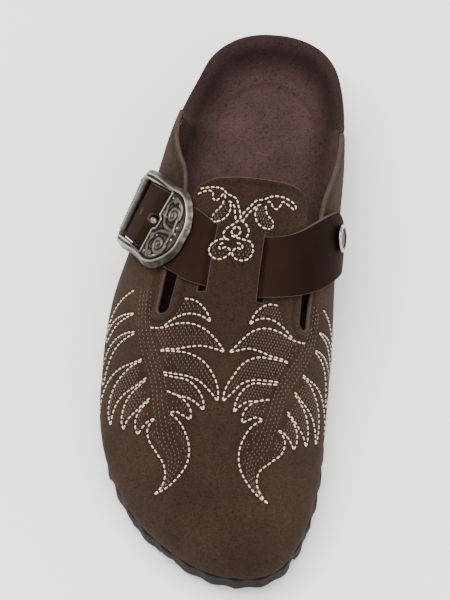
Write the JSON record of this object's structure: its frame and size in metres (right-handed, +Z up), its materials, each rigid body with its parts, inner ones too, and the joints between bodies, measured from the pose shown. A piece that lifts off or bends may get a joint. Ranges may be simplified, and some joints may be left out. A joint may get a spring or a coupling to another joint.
{
  "type": "suede clog with buckle strap",
  "caption": "Closed-toe backless suede clog for the right foot, contoured footbed, leather strap over the instep with an engraved buckle and a snap, lugged sole.",
  "frame": {"origin": "centre of the bounding box in plan, on the floor plane under the outsole", "axes": "-Y towards the toe, +Y towards the heel, +X towards the inner (medial) side of the right foot, +Z up"},
  "size_m": [0.1136, 0.281, 0.0888],
  "materials": {
    "outsole": "matt moulded EVA rubber, near black brown",
    "footbed": "cork and latex footbed, dyed dark brown and sealed",
    "insole": "suede sock lining, purple brown",
    "upper": "brushed suede, dark olive brown, with cream stitching",
    "strap": "smooth dark brown leather with raw edges",
    "buckle_tab": "smooth dark brown leather",
    "buckle_metal": "antique silver plating, engraved and brushed",
    "rivet_metal": "antique silver plating, dark centre"
  },
  "bodies": {
    "root": {"outsole": "outsole", "footbed": "footbed", "insole": "insole", "upper": "upper", "strap": "strap", "buckle_tab": "buckle_tab", "buckle_bar": "buckle_metal", "buckle_frame": "buckle_metal", "buckle_prong": "buckle_metal", "rivet": "rivet_metal"}
  },
  "joints": []
}
